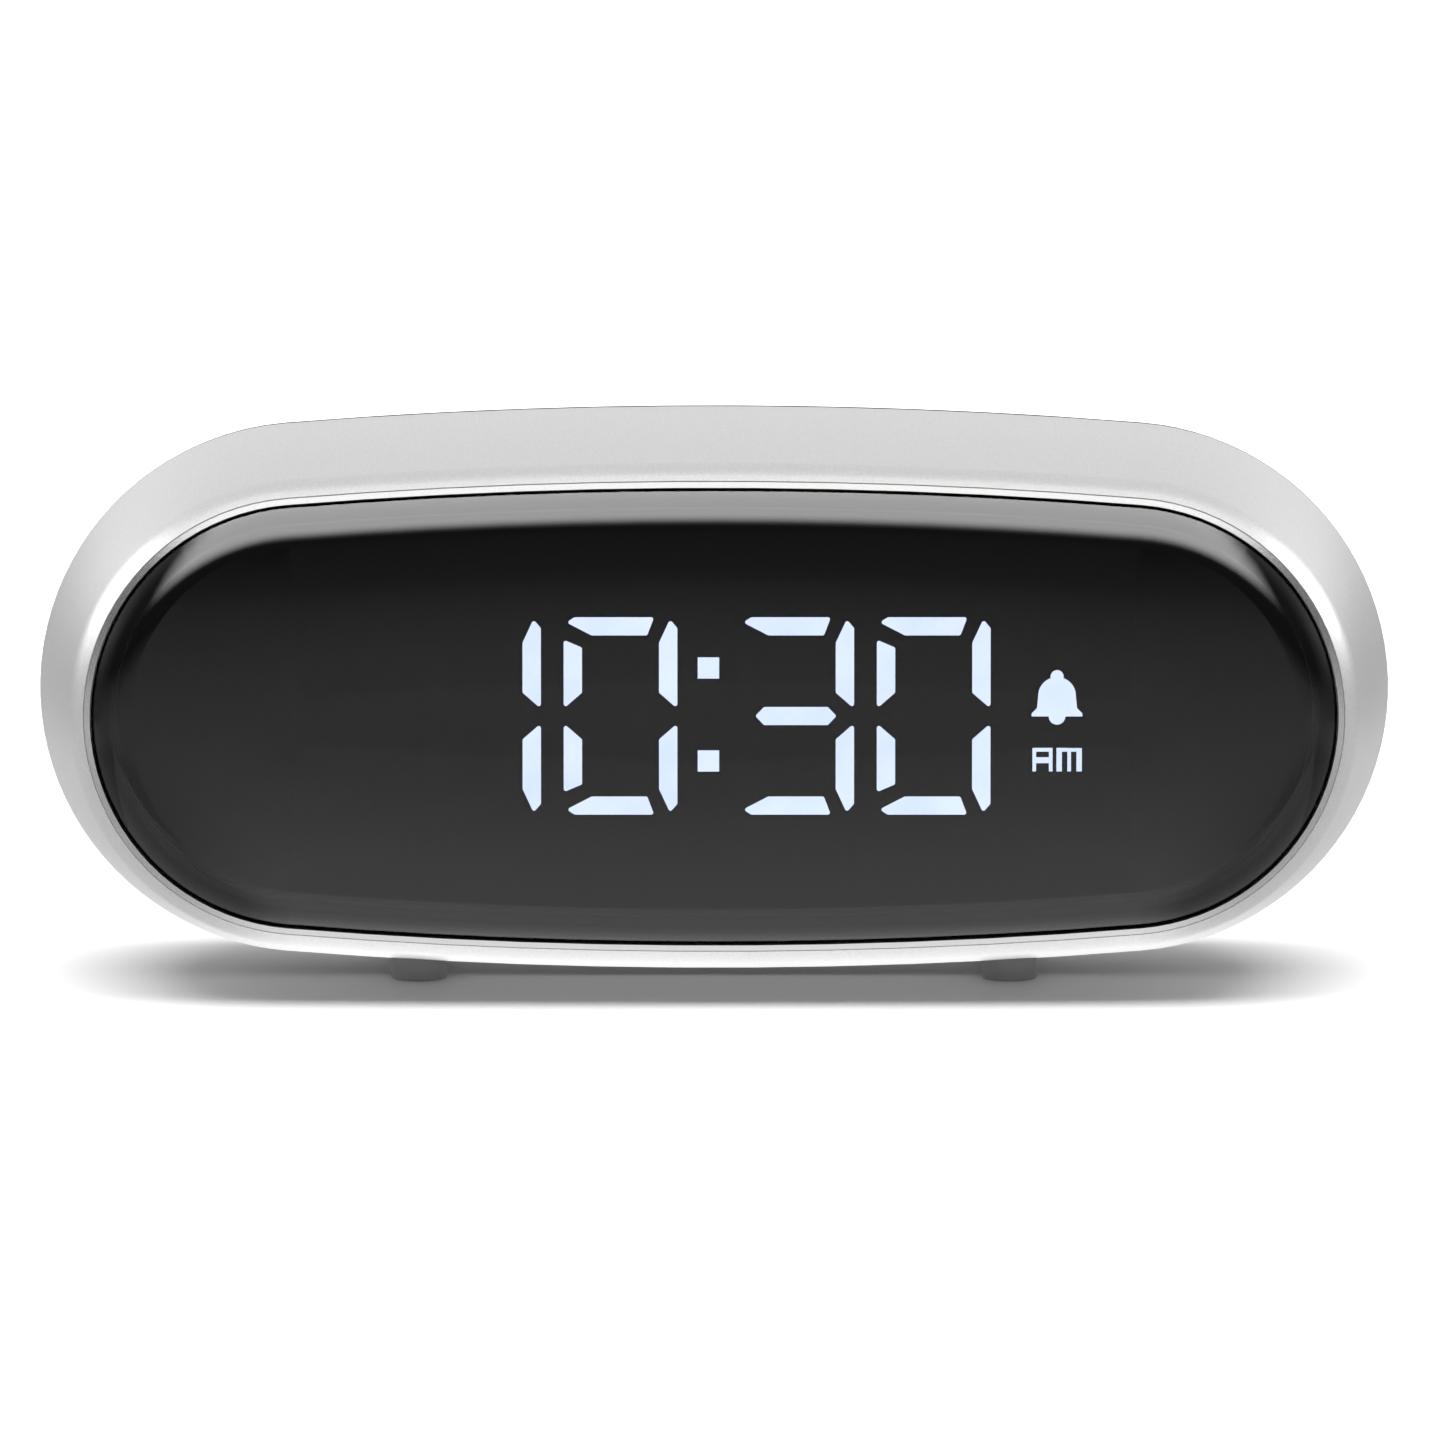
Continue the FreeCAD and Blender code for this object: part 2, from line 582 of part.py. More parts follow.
# ---- screws, boards and what is on them ----
def screw(head, sizes, direction):
    """Pan-head screw with a cross recess. head is the face it clamps; direction is where it points."""
    head_r, head_high, shank_r, long = sizes
    d = V(*direction)
    start = V(*head)
    body = Part.makeCylinder(head_r, head_high, start - d * head_high, d)
    rim = [e for e in body.Edges if e.Closed and (e.CenterOfMass - (start - d * head_high)).Length < 0.01]
    body = body.makeFillet(head_high * 0.45, rim)
    shank = Part.makeCylinder(shank_r, long - shank_r, start - d * 0.1, d)
    tip = Part.makeCone(shank_r, shank_r * 0.4, shank_r, start + d * (long - shank_r - 0.1), d)
    across = d.cross(V(1, 0, 0)) if abs(d.x) < 0.5 else d.cross(V(0, 0, 1))
    across.normalize()
    other = d.cross(across)
    solid = join([body, shank, tip])
    for u, v in ((across, other), (other, across)):
        base = [start - d * (head_high + 0.1) + u * (a * head_r * 0.62) + v * (b * head_r * 0.14)
                for a, b in ((-1, -1), (1, -1), (1, 1), (-1, 1), (-1, -1))]
        solid = solid.cut(Part.Face(Part.makePolygon(base)).extrude(d * (0.1 + head_high * 0.6)))
    return solid


def screws_y(places, y, sizes, sign):
    return [screw((x, y, z), sizes, (0, sign, 0)) for x, z in places]


def pipe(points, radius):
    """Wire with round bends through its points."""
    curve = Part.BSplineCurve()
    curve.interpolate([V(*p) for p in points])
    spine = Part.Wire(curve.toShape())
    start = curve.value(curve.FirstParameter)
    direction = curve.tangent(curve.FirstParameter)[0]
    ring = Part.Wire(Part.makeCircle(radius, start, direction))
    return spine.makePipeShell([ring], True, True)


def tact_body(x, z, y):
    """Six-millimetre push switch on a board face at y, its stem hole facing back."""
    body = block_y((3.0, 3.0), (x, z), y, y + 3.5)
    return body.cut(along_y(2.0, (x, z), y + 1.6, y + 4))


def make_boards():
    nodes = {}
    main = rounded_block_y(MAIN_BOARD_HALF, (0, 0), MAIN_BOARD_Y, MAIN_BOARD_Y + BOARD, 2.0)
    main_holes = [along_y(BOARD_HOLE_R, p, 20, 30) for p in four(MAIN_POST)]
    nodes["main_board"] = [main.cut(Part.makeCompound(main_holes))]
    key_lo, key_hi = (-39.5, 43.5)
    key_y = KEY_BOARD_Y + BOARD
    key = box((key_lo, KEY_BOARD_Y, 8.6), (key_hi, key_y, 16.2))
    nodes["key_board"] = [key.cut(Part.makeCompound(
        [along_y(1.0, (x, BUTTON_Z), 30, 40) for x in KEY_POST_X]))]
    nodes["tact_switches"] = [tact_body(x, BUTTON_Z, key_y) for x in BUTTON_X.values()]
    slide_x = SWITCH_X + SWITCH_TRAVEL / 2
    slide = block_y((5.0, 2.2), (slide_x, BUTTON_Z), key_y, key_y + 3.8)
    nodes["slide_switch"] = [slide.cut(block_y((3.5, 1.1), (slide_x, BUTTON_Z), key_y + 1.6, key_y + 5))]
    snooze_board = snooze_block(41.0, 3.5, SNOOZE_BOARD_LEVEL - BOARD, SNOOZE_BOARD_LEVEL)
    for x in SNOOZE_POST_X:
        hole = rod(1.0, snooze_point(x, -14.0), snooze_point(x, -8.0))
        snooze_board = snooze_board.cut(hole)
    nodes["snooze_board"] = [snooze_board]
    snooze_switch = snooze_block(3.0, 3.0, SNOOZE_BOARD_LEVEL, SNOOZE_BOARD_LEVEL + 3.5)
    well = rod(2.0, snooze_point(0, SNOOZE_BOARD_LEVEL + 1.6), snooze_point(0, SNOOZE_BOARD_LEVEL + 4))
    nodes["snooze_switch"] = [snooze_switch.cut(well)]
    nodes["snooze_board_screws"] = [
        screw(snooze_point(x, SNOOZE_BOARD_LEVEL - BOARD), SNOOZE_SCREW, SNOOZE_OUT) for x in SNOOZE_POST_X]
    nodes["display_screws"] = screws_y(four(DISPLAY_BOSS), REFLECTOR_Y + BOARD, DISPLAY_SCREW, -1)
    nodes["main_board_screws"] = screws_y(four(MAIN_POST), MAIN_BOARD_Y, MAIN_SCREW, 1)
    key_places = [(x, BUTTON_Z) for x in KEY_POST_X]
    nodes["key_board_screws"] = screws_y(key_places, KEY_BOARD_Y, KEY_SCREW, 1)
    nodes["housing_screws"] = screws_y(housing_screw_places(), HOUSING_SEAT_Y, HOUSING_SCREW, -1)
    return nodes


def chip(centre, half, high, pins):
    """Controller package on the back face of the main board, with its two rows of legs."""
    y = MAIN_BOARD_Y + BOARD
    x, z = centre
    body = block_y(half, centre, y + 0.1, y + high)
    legs = []
    for k in range(pins):
        lx = x - half[0] + half[0] * 2 * (k + 0.5) / pins
        for side in (-1, 1):
            legs.append(block_y((0.2, 0.5), (lx, z + side * (half[1] + 0.4)), y, y + 0.8))
    return join([body] + legs)


def make_components():
    nodes = {}
    front, back = MAIN_BOARD_Y, MAIN_BOARD_Y + BOARD
    nodes["controller_chip"] = [chip((-6.0, 0.0), (6.4, 3.8), 2.4, 14)]
    nodes["crystal"] = [rounded_block_y((1.6, 4.0), (8.0, 0.0), back, back + 3.2, 1.5)]
    caps = [along_y(3.0, (x, z), front - 7.5, front) for x, z in ((-30.0, 6.0), (-22.0, 6.0), (30.0, -6.0))]
    nodes["capacitors"] = [c.makeFillet(0.5, [e for e in c.Edges if e.Closed]) for c in caps]
    plugs = [block_y((5.2, 2.6), (0.0, -11.5), front - 5.0, front)]
    plugs.append(block_y((5.2, 2.6), (0.0, -11.5), REFLECTOR_Y + BOARD, REFLECTOR_Y + BOARD + 5.0))
    plugs += [block_y((2.6, 2.6), (x, -11.5), front - 5.0, front) for x in (-22.0, 22.0)]
    nodes["board_connectors"] = plugs
    y0, y1 = REFLECTOR_Y + BOARD + 5.0, front - 5.0
    nodes["display_ribbon"] = [box((-4.5, y0, -11.7), (4.5, y1, -11.3))]
    nodes["buzzer"] = [along_y(BUZZER_R, BUZZER, 40.5, BACK_IN_Y)]
    pin_y = BACK_IN_Y - 0.4
    jack = block_y((4.5, 5.0), JACK, 33.7, BACK_IN_Y)
    jack = jack.cut(along_y(3.1, JACK, 35.5, BACK_IN_Y + 1))
    nodes["power_jack"] = [join([jack, along_y(1.0, JACK, 35.0, pin_y)])]
    return nodes


def make_wires():
    """Hook-up wires between the back's fittings and the main board, each clear of its neighbours."""
    back = MAIN_BOARD_Y + BOARD
    nodes = {}
    nodes["buzzer_leads"] = [
        pipe([(x, 40.4, -5.0), (x, 37.0, -5.0), (x + 2.0, 32.0, -6.0), (x + 3.0, back + 0.2, -6.0)], 0.5)
        for x in (-42.5, -37.5)]
    nodes["jack_leads"] = [
        pipe([(x, 33.6, -6.0), (x, 32.0, -6.0), (x - 1.0, 30.0, -5.0), (x - 1.0, back + 0.2, -4.0)], 0.5)
        for x in (38.0, 42.0)]
    nodes["battery_leads"] = [
        pipe([(x, 32.2, -12.5), (x, 31.0, -12.5), (x, 29.5, -10.5), (x, back + 0.2, -10.5)], 0.5)
        for x in (-18.0, 18.0)]
    nodes["key_board_leads"] = [
        pipe([(x, 35.8, 10.5), (x, 33.0, 10.5), (x, 30.0, 8.5), (x, back + 0.2, 8.5)], 0.4)
        for x in (-4.0, -2.5, -1.0, 0.5, 2.0)]
    start = snooze_point(0.0, SNOOZE_BOARD_LEVEL - BOARD - 0.2)
    nodes["snooze_leads"] = [
        pipe([(x, start[1], start[2]), (x, start[1] - 1.5, start[2] - 2.0),
              (x, 29.2, 12.5), (x, back + 0.2, 12.0)], 0.4)
        for x in (10.0, 12.0)]
    return nodes


# ---- back controls, battery bay and feet ----
def make_button(x):
    """Round push button: cap, keeper flange under the wall and a rod down to the switch stem."""
    cap = along_y(BUTTON_R, (x, BUTTON_Z), BACK_IN_Y - 0.4, BACK_Y + BUTTON_OUT)
    edge = [e for e in cap.Edges if e.Closed and e.CenterOfMass.y > BACK_Y]
    cap = cap.makeFillet(0.5, edge)
    flange = along_y(BUTTON_R + 0.9, (x, BUTTON_Z), BACK_IN_Y - 1.0, BACK_IN_Y - 0.4)
    push = along_y(1.6, (x, BUTTON_Z), KEY_BOARD_Y + 6.2, BACK_IN_Y - 0.9)
    return join([cap, flange, push])


def make_button_stem(x):
    return along_y(1.7, (x, BUTTON_Z), KEY_BOARD_Y + 4.2, KEY_BOARD_Y + 6.2)


def make_switch_knob():
    tail = block_y((1.5, 0.7), (SWITCH_X, BUTTON_Z), KEY_BOARD_Y + 3.6, BACK_IN_Y)
    head = block_y((1.5, 1.0), (SWITCH_X, BUTTON_Z), BACK_IN_Y - 0.6, BACK_Y + 0.7)
    return join([tail, head])


def make_battery_door():
    gap = TRAVEL_GAP
    half = (DOOR_HALF[0] - gap, DOOR_HALF[1] - gap)
    plate = rounded_block_y(half, (0, DOOR_Z), BACK_Y - DOOR_THICK, BACK_Y, 0.8)
    skirt_half = (BAY_HALF[0] - gap, BAY_HALF[1] - gap)
    skirt = block_y(skirt_half, (0, DOOR_Z), CELL_Y + CELL_R + 0.2, BACK_Y - DOOR_THICK + 0.2)
    inner = (skirt_half[0] - 1.0, skirt_half[1] - 1.0)
    skirt = skirt.cut(block_y(inner, (0, DOOR_Z), 30, BACK_Y - DOOR_THICK))
    notch = along_y(6.0, (0, DOOR_Z + DOOR_HALF[1] + 3.0), BACK_Y - 1.0, BACK_Y + 1)
    return join([plate, skirt]).cut(notch)


def cell_z():
    return (DOOR_Z - CELL_PITCH / 2, DOOR_Z + CELL_PITCH / 2)


def make_cell(z, sign):
    """One slim cell lying along X; sign is the side of its positive end."""
    body_half = CELL_LONG / 2
    body = rod(CELL_R, (-body_half, CELL_Y, z), (body_half, CELL_Y, z))
    body = body.makeFillet(0.5, [e for e in body.Edges if e.Closed])
    nub = rod(1.9, (sign * (body_half - 0.2), CELL_Y, z), (sign * (body_half + 1.0), CELL_Y, z))
    return join([body, nub])


def make_cell_spring(z, sign):
    """Tapering contact spring between the bay's end plate and the cell's flat end."""
    wire_r = 0.3
    start = BAY_HALF[0] - 0.45 - wire_r
    end = CELL_LONG / 2 + wire_r + 0.05
    steps = 3 * 12
    points = []
    for k in range(steps + 1):
        done = k / steps
        turn = 2 * pi * 3 * done
        r = 3.6 - 1.2 * done
        points.append((sign * (start + (end - start) * done), CELL_Y + r * cos(turn), z + r * sin(turn)))
    return pipe(points, wire_r)


def make_battery_parts():
    low, high = cell_z()
    plates = []
    for side, z in ((-1, low), (1, low), (-1, high), (1, high)):
        plates.append(block_y((0.2, 4.6), (side * (BAY_HALF[0] - 0.25), z), BAY_FLOOR_Y + 0.2, 44.4))
    return {
        "batteries": [make_cell(low, 1), make_cell(high, -1)],
        "battery_springs": [make_cell_spring(low, -1), make_cell_spring(high, 1)],
        "battery_plates": plates,
    }


def make_feet(outside):
    feet = []
    for y in FOOT_Y:
        for x in (-FOOT_X, FOOT_X):
            foot = rod(FOOT_R, (x, y, GROUND_Z), (x, y, GROUND_Z + 12))
            sole = [e for e in foot.Edges if e.Closed and e.CenterOfMass.z < GROUND_Z + 0.1]
            foot = foot.makeFillet(FOOT_EDGE, sole)
            feet.append(foot.cut(outside))
    return feet


# ---- saving ----
def save(name, solids):
    shape = Part.makeCompound(solids) if len(solids) > 1 else solids[0]
    shape = shape.copy()
    shape.translate(SHIFT)
    bad = [s for s in shape.Solids if not s.isValid() or s.Volume <= 0]
    shape.exportStep("parts/" + name + ".step")
    b = shape.BoundBox
    size = "%6.1f %6.1f %6.1f" % (b.XLength, b.YLength, b.ZLength)
    print("%-24s solids %2d  size %s  %s" % (name, len(shape.Solids), size, "BAD" if bad else "ok"))


def main():
    os.makedirs("parts", exist_ok=True)
    outside = envelope()
    nodes = {
        "front_housing": [make_front_housing()],
        "rear_housing": [make_rear_housing(outside)],
        "lens": [make_lens()],
        "lens_gasket": [make_lens_gasket()],
        "snooze_bar": [make_snooze_bar()],
        "snooze_stem": [rod(SNOOZE_STEM_R, *[snooze_point(0, level) for level in SNOOZE_STEM_LEVELS])],
        "alarm_switch_knob": [make_switch_knob()],
        "battery_door": [make_battery_door()],
        "rubber_feet": make_feet(outside),
    }
    for name, x in BUTTON_X.items():
        nodes[name + "_button"] = [make_button(x)]
        nodes[name + "_stem"] = [make_button_stem(x)]
    for group in (make_display(), make_boards(), make_components(), make_wires(), make_battery_parts()):
        nodes.update(group)
    for name, solids in nodes.items():
        save(name, solids)
    print("nodes", len(nodes))
    print("back wall y", BACK_IN_Y + SHIFT.y, BACK_Y + SHIFT.y, "shift", SHIFT)
    print("snooze out", SNOOZE_OUT, "seam", SEAM_O, SEAM_Y)


main()
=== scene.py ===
# %% [markdown]
# # Oval bedside alarm clock
# A wide clock with a satin silver body, a smoked oval lens and white lit digits. The CAD model already
# holds every piece in its place, and says which pieces move. This lesson gives each piece the surface of
# the real thing, builds a small product studio round it and aims a long lens at its face.
# Lengths are metres. X runs to the viewer's right, Y into the clock and Z up.

import json
from math import cos, radians, sin

import bmesh
import bpy
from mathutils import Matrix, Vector


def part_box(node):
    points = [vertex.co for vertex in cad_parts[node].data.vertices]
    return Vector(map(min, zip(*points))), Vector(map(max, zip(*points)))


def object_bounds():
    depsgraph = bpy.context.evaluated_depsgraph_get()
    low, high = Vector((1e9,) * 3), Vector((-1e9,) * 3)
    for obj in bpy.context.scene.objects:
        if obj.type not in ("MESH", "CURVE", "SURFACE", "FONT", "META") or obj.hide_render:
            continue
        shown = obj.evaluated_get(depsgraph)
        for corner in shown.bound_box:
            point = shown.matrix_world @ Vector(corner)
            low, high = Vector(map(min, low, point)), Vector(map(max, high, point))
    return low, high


MM = 0.001
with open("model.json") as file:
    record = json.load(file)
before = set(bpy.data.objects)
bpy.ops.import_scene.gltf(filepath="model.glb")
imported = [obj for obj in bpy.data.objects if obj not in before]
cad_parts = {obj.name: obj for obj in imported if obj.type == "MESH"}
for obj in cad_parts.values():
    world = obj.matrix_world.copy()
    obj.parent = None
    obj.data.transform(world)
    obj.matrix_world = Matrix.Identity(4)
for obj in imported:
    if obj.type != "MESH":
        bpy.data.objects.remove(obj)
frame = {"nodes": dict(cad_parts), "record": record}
nodes = frame["nodes"]
cad_low, cad_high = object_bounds()
case_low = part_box("front_housing")[0]
print("box in mm", [round(side / MM, 1) for side in cad_high - cad_low])

# %% [markdown]
# ## Colours and nodes
# A colour picked on a screen is an sRGB hex code, while shaders add up light and want linear values, so
# one function turns the first into the second. A second function adds a node of any kind, and a third
# gives a node its inputs: a number or colour is set on the input itself, and another node's output is
# linked to it. Everything below is built from these three.

# %% Hex colour to linear
def paint(code):
    """Linear RGBA of a hex sRGB colour."""
    channels = [int(code[i : i + 2], 16) / 255 for i in (0, 2, 4)]
    return [c / 12.92 if c <= 0.04045 else ((c + 0.055) / 1.055) ** 2.4 for c in channels] + [1.0]


print("mid grey", [round(channel, 3) for channel in paint("808080")])

# %% Add a node
def connect(tree, node, inputs):
    """Set a node's inputs to constants, or link other nodes' outputs to them."""
    for name, value in inputs.items():
        if isinstance(value, bpy.types.NodeSocket):
            tree.links.new(value, node.inputs[name])
        else:
            node.inputs[name].default_value = value


def add_node(tree, kind, inputs=None, **settings):
    """Add a node of a kind, with its settings and then its inputs."""
    node = tree.nodes.new(kind)
    for name, value in settings.items():
        setattr(node, name, value)
    connect(tree, node, inputs or {})
    return node


def new_material(name):
    """A material, its tree, its Principled shader, and object coordinates to lay patterns by."""
    material = bpy.data.materials.new(name)
    material.use_nodes = True
    tree = material.node_tree
    place = add_node(tree, "ShaderNodeTexCoord").outputs["Object"]
    return material, tree, tree.nodes["Principled BSDF"], place


# Noise mostly stays between these two values, so patterns are stretched from them to their own ends.
NOISE_LOW, NOISE_HIGH = 0.3, 0.7
finishes = {}
print("helpers ready")

# %% [markdown]
# ## Satin silver body
# The front housing is moulded ABS, sprayed with satin silver and lacquered. Tiny flakes in such paint
# catch the light one by one, so the colour and the surface both change from flake to flake, while a lazy
# unevenness of the lacquer changes the gloss over centimetres. To the eye this is a soft grey sheen with a
# very fine sparkle. Two materials could share the piece, but the polished lip round the lens is the same
# part under the same coat. One material therefore does both, and changes from polished to satin at the
# depth where the groove round the lip lies. Real flakes are a few hundredths of a millimetre across, too
# small to show, so they are drawn several times as coarse.

# %% ABS, sprayed satin silver with a polished lip
LIP_ENDS = case_low.y + 0.23 * MM
LIP_BLUR = 0.04 * MM
FLAKE = 0.22 * MM
LACQUER_WAVE = 30 * MM

material, tree, shader, place = new_material("abs_sprayed_satin_silver")
flakes = add_node(
    tree, "ShaderNodeTexNoise", {"Vector": place, "Scale": 1 / FLAKE, "Detail": 3.0}
).outputs["Fac"]
flake_share = add_node(
    tree, "ShaderNodeMapRange", {"Value": flakes, "From Min": NOISE_LOW, "From Max": NOISE_HIGH}
).outputs["Result"]
lacquer = add_node(
    tree, "ShaderNodeTexNoise", {"Vector": place, "Scale": 1 / LACQUER_WAVE, "Detail": 2.0}
).outputs["Fac"]
lacquer_share = add_node(
    tree, "ShaderNodeMapRange", {"Value": lacquer, "From Min": NOISE_LOW, "From Max": NOISE_HIGH}
).outputs["Result"]
depth = add_node(tree, "ShaderNodeSeparateXYZ", {"Vector": place}).outputs["Y"]
satin = add_node(tree, "ShaderNodeMapRange", {
    "Value": depth, "From Min": LIP_ENDS - LIP_BLUR, "From Max": LIP_ENDS + LIP_BLUR,
}).outputs["Result"]
print("lip ends", round((LIP_ENDS - case_low.y) / MM, 2), "mm behind the front edge")

# %% Two silvers and their gloss
polished_silver = add_node(
    tree,
    "ShaderNodeMix",
    {"Factor": lacquer_share, "A": paint("B4B4B3"), "B": paint("BABAB9")},
    data_type="RGBA",
)
satin_silver = add_node(
    tree,
    "ShaderNodeMix",
    {"Factor": flake_share, "A": paint("C4C5C4"), "B": paint("D0D1D0")},
    data_type="RGBA",
)
silver = add_node(
    tree,
    "ShaderNodeMix",
    {"Factor": satin, "A": polished_silver.outputs["Result"], "B": satin_silver.outputs["Result"]},
    data_type="RGBA",
)
polished_gloss = add_node(
    tree, "ShaderNodeMapRange", {"Value": lacquer_share, "To Min": 0.15, "To Max": 0.18}
)
satin_gloss = add_node(
    tree, "ShaderNodeMapRange", {"Value": lacquer_share, "To Min": 0.36, "To Max": 0.40}
)
gloss = add_node(
    tree,
    "ShaderNodeMix",
    {"Factor": satin, "A": polished_gloss.outputs["Result"], "B": satin_gloss.outputs["Result"]},
    data_type="FLOAT",
)
sparkle = add_node(
    tree, "ShaderNodeBump", {"Height": flakes, "Distance": 0.01 * MM, "Strength": 0.5}
)
connect(tree, shader, {
    "Base Color": silver.outputs["Result"],
    "Roughness": gloss.outputs["Result"],
    "Normal": sparkle.outputs["Normal"],
    "Metallic": 0.85,
})
finishes["silver_plastic"] = material
print(material.name, "nodes", len(tree.nodes))

# %% [markdown]
# ## Smoked lens
# The lens is acrylic with a smoke dye, polished on both faces: black and mirror-like until something
# bright is lit behind it. A black panel with a clear coat would look the same by day, but it couldn't let
# the digits through, so the shader transmits, and its colour tints the light at each surface that the
# light crosses. Faint streaks from the flow of the plastic make the gloss waver a little.

# %% Acrylic, dyed and polished
FLOW_STREAK = 20 * MM

material, tree, shader, place = new_material("acrylic_smoked_polished")
streaks = add_node(
    tree, "ShaderNodeTexNoise", {"Vector": place, "Scale": 1 / FLOW_STREAK, "Detail": 1.0}
).outputs["Fac"]
share = add_node(
    tree, "ShaderNodeMapRange", {"Value": streaks, "From Min": NOISE_LOW, "From Max": NOISE_HIGH}
).outputs["Result"]
smoke = add_node(
    tree,
    "ShaderNodeMix",
    {"Factor": share, "A": paint("505155"), "B": paint("525357")},
    data_type="RGBA",
)
polish = add_node(tree, "ShaderNodeMapRange", {"Value": share, "To Min": 0.010, "To Max": 0.020})
connect(tree, shader, {
    "Base Color": smoke.outputs["Result"],
    "Roughness": polish.outputs["Result"],
    "IOR": 1.42,
    "Transmission Weight": 1.0,
})
finishes["smoked_acrylic"] = material
print(material.name, "IOR", shader.inputs["IOR"].default_value)

# %% [markdown]
# ## Digits
# Each stroke of a digit is a well of white epoxy with a diode under it. The lit ones glow evenly and
# slightly blue, as white diodes do. A lamp inside each well would be true to life, but it would be slow
# and grainy behind a lens, so the epoxy itself emits. The strokes that are off are the same white casting,
# but their colour is painted nearly black: painted shade, for how dark they sit behind the smoke. A
# cloudiness a few millimetres wide keeps both from looking printed.

# %% Epoxy, cast and lit from behind
GLOW = 12.0
LIT_CLOUD = 4 * MM

material, tree, shader, place = new_material("epoxy_cast_diffusing_lit")
cloud = add_node(
    tree, "ShaderNodeTexNoise", {"Vector": place, "Scale": 1 / LIT_CLOUD, "Detail": 2.0}
).outputs["Fac"]
share = add_node(
    tree, "ShaderNodeMapRange", {"Value": cloud, "From Min": NOISE_LOW, "From Max": NOISE_HIGH}
)
glow = add_node(
    tree,
    "ShaderNodeMix",
    {"Factor": share.outputs["Result"], "A": paint("DEECFF"), "B": paint("E8F3FF")},
    data_type="RGBA",
).outputs["Result"]
connect(tree, shader, {
    "Base Color": glow,
    "Emission Color": glow,
    "Emission Strength": GLOW,
    "Roughness": 0.5,
})
finishes["lit_resin"] = material
print(material.name, "glow", GLOW)

# %% Epoxy, cast and unlit, its colour painted in shade
UNLIT_CLOUD = 3 * MM

material, tree, shader, place = new_material("epoxy_cast_unlit_painted_shade")
cloud = add_node(
    tree, "ShaderNodeTexNoise", {"Vector": place, "Scale": 1 / UNLIT_CLOUD, "Detail": 2.0}
).outputs["Fac"]
share = add_node(
    tree, "ShaderNodeMapRange", {"Value": cloud, "From Min": NOISE_LOW, "From Max": NOISE_HIGH}
)
# Painted shade: the white epoxy is coloured near black, for the dark it sits in behind the smoked lens.
shaded_epoxy = add_node(
    tree,
    "ShaderNodeMix",
    {"Factor": share.outputs["Result"], "A": paint("0C0D0E"), "B": paint("101112")},
    data_type="RGBA",
)
connect(tree, shader, {"Base Color": shaded_epoxy.outputs["Result"], "Roughness": 0.55})
finishes["unlit_resin"] = material
print(material.name, "cloud", round(UNLIT_CLOUD / MM), "mm")

# %% [markdown]
# ## Moulded plastics and rubbers
# Most pieces came out of a mould: the rear housing, the buttons, the feet and the small parts on the
# circuit board. A mould leaves a fine grain, which breaks up the gloss, and the material's own colour
# drifts a little over centimetres. Only the colours, the size of the grain and the gloss differ, so one
# function makes them all. The real grain is a tenth of a millimetre or less, too fine to show, so it is
# drawn two to six times as coarse.

# %% A moulded finish
DRIFT = 40  # grains to one wave of the colour


def moulded(name, dark, light, grain, depth, gloss=(0.45, 0.6)):
    """Moulded finish: two close colours, a grain and its depth in mm, and the range of its roughness."""
    material, tree, shader, place = new_material(name)
    specks = add_node(
        tree, "ShaderNodeTexNoise", {"Vector": place, "Scale": 1 / (grain * MM), "Detail": 3.0}
    ).outputs["Fac"]
    drift = add_node(
        tree, "ShaderNodeTexNoise", {"Vector": place, "Scale": 1 / (grain * DRIFT * MM), "Detail": 2.0}
    ).outputs["Fac"]
    share = add_node(
        tree, "ShaderNodeMapRange", {"Value": drift, "From Min": NOISE_LOW, "From Max": NOISE_HIGH}
    )
    colour = add_node(
        tree,
        "ShaderNodeMix",
        {"Factor": share.outputs["Result"], "A": paint(dark), "B": paint(light)},
        data_type="RGBA",
    )
    rough = add_node(tree, "ShaderNodeMapRange", {
        "Value": specks,
        "From Min": NOISE_LOW,
        "From Max": NOISE_HIGH,
        "To Min": gloss[0],
        "To Max": gloss[1],
    })
    relief = add_node(
        tree, "ShaderNodeBump", {"Height": specks, "Distance": depth * MM, "Strength": 0.6}
    )
    connect(tree, shader, {
        "Base Color": colour.outputs["Result"],
        "Roughness": rough.outputs["Result"],
        "Normal": relief.outputs["Normal"],
    })
    return material


print("colour drifts over", DRIFT, "grains")

# %% The moulded pieces
# Spark-textured mould: dull black that shows a soft, broken highlight.
finishes["black_plastic"] = moulded("abs_moulded_textured_black", "17181A", "1C1D1F", 0.3, 0.03)
# Fine texture: the buttons look a shade lighter and smoother than the case round them.
finishes["control_plastic"] = moulded(
    "abs_moulded_fine_black", "1D1E20", "242527", 0.2, 0.01, (0.35, 0.45)
)
# Plain steel mould: a quiet, even black.
finishes["stem_plastic"] = moulded("pom_moulded_black", "1A1A1B", "202022", 0.3, 0.01, (0.45, 0.55))
# Matt mould, soot black: the mask round the digits returns next to no light.
finishes["mask_plastic"] = moulded("abs_moulded_matt_black", "030304", "040405", 0.4, 0.01, (0.8, 0.9))
# Cut from foam sheet: the cells swallow the light.
finishes["black_foam"] = moulded(
    "polyurethane_foam_cut_black", "030303", "050505", 0.4, 0.02, (0.85, 0.95)
)
# Pressed rubber: light grey, with hardly any highlight.
finishes["foot_rubber"] = moulded("silicone_pressed_grey", "989999", "A0A1A1", 0.4, 0.04, (0.7, 0.85))
# Cast over a phosphor: a waxy yellow.
finishes["led_resin"] = moulded("epoxy_cast_yellow", "D8CC8C", "E6DCA4", 0.5, 0.01, (0.2, 0.35))
# Pressed round a chip: charcoal with a fine sandy face.
finishes["chip_epoxy"] = moulded("epoxy_pressed_charcoal", "121214", "18181A", 0.3, 0.02, (0.5, 0.65))
# Shrunk on with heat: deep blue and shiny.
finishes["capacitor_sleeve"] = moulded(
    "pvc_sleeve_shrunk_blue", "0E1226", "131830", 0.5, 0.01, (0.2, 0.3)
)
